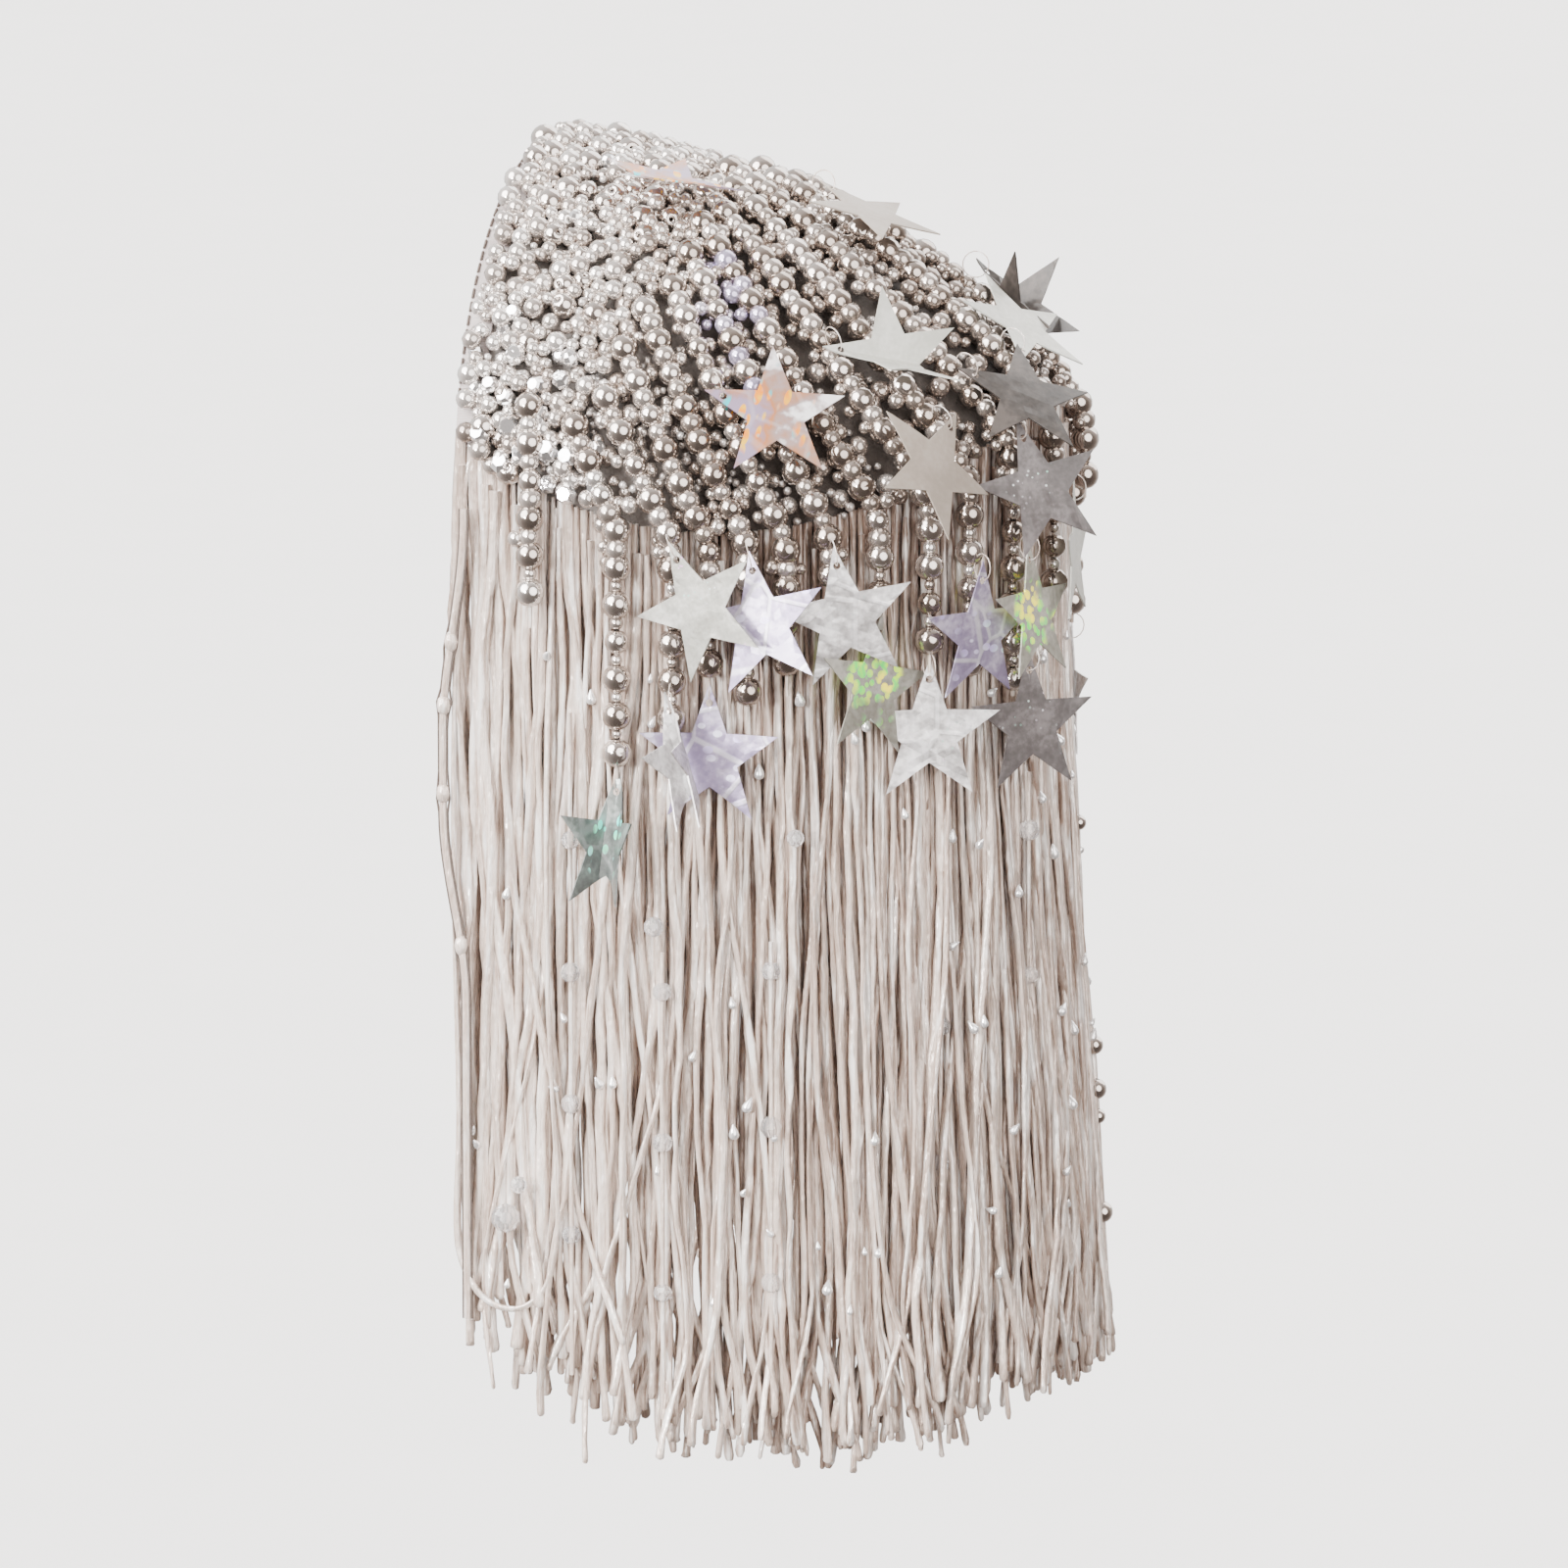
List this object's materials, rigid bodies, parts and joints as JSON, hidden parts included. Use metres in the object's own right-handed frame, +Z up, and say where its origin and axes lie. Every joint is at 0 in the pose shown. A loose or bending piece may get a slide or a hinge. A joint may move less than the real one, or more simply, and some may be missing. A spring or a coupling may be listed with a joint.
{
  "type": "fringe epaulette",
  "caption": "Domed left shoulder epaulette covered in silver beads, with hanging bead strands, foil stars and a long white satin cord fringe.",
  "frame": {"origin": "the point on top of the shoulder where the lining's underside rests, 30 mm out from the inner edge on the ridge", "axes": "+X out along the left shoulder towards the arm, -Y to the wearer's front, +Z up; the fringe hangs along -Z"},
  "size_m": [0.1239, 0.1494, 0.2607],
  "materials": {
    "board_felt": "matt felt",
    "lining_cloth": "plain weave, tan",
    "binding_satin": "satin strip, pale mauve grey",
    "bead_carpet": "small silvered and silver-lined beads, close set",
    "fringe_cord": "white satin cord",
    "silver_bead": "silvered plastic, mirror bright",
    "foil_silver": "speckled silver foil",
    "foil_white": "white satin foil",
    "foil_grey": "dark grey speckled foil",
    "foil_taupe": "matt taupe foil",
    "foil_lilac": "pearly lilac foil",
    "foil_peach": "pink and peach holographic foil",
    "foil_lime": "yellow-green holographic foil",
    "foil_teal": "teal holographic foil",
    "crystal": "clear faceted beads on a fringe cord"
  },
  "bodies": {
    "root": {"board": "board_felt", "lining": "lining_cloth", "inner_binding": "binding_satin", "bead_carpet": "bead_carpet", "fringe": "fringe_cord", "bead_strand_01": "silver_bead", "bead_strand_02": "silver_bead", "bead_strand_03": "silver_bead", "bead_strand_04": "silver_bead", "bead_strand_05": "silver_bead", "bead_strand_06": "silver_bead", "bead_strand_07": "silver_bead", "bead_strand_08": "silver_bead", "bead_strand_09": "silver_bead", "bead_strand_10": "silver_bead", "bead_strand_11": "silver_bead", "bead_strand_12": "silver_bead", "bead_strand_13": "silver_bead", "bead_strand_14": "silver_bead", "bead_strand_15": "silver_bead", "bead_strand_16": "silver_bead", "bead_strand_17": "silver_bead", "bead_strand_18": "silver_bead", "bead_strand_19": "silver_bead", "bead_strand_20": "silver_bead", "bead_strand_21": "silver_bead", "star_01": "foil_peach", "star_02": "foil_white", "star_03": "foil_taupe", "star_04": "foil_silver", "star_05": "foil_grey", "star_06": "foil_white", "star_07": "foil_silver", "star_08": "foil_silver", "star_09": "foil_lime", "star_10": "foil_grey", "star_11": "foil_lime", "star_12": "foil_lilac", "star_13": "foil_teal", "star_14": "foil_lilac", "star_15": "foil_silver", "star_16": "foil_taupe", "star_17": "foil_grey", "star_18": "foil_silver", "star_19": "foil_lilac", "star_20": "foil_peach", "star_21": "foil_white", "star_22": "foil_silver", "star_23": "foil_white", "star_24": "foil_teal", "star_25": "foil_lilac", "crystal_cord_01": "crystal", "crystal_cord_02": "crystal", "crystal_cord_03": "crystal", "crystal_cord_04": "crystal", "crystal_cord_05": "crystal", "crystal_cord_06": "crystal", "crystal_cord_07": "crystal", "crystal_cord_08": "crystal"}
  },
  "joints": []
}
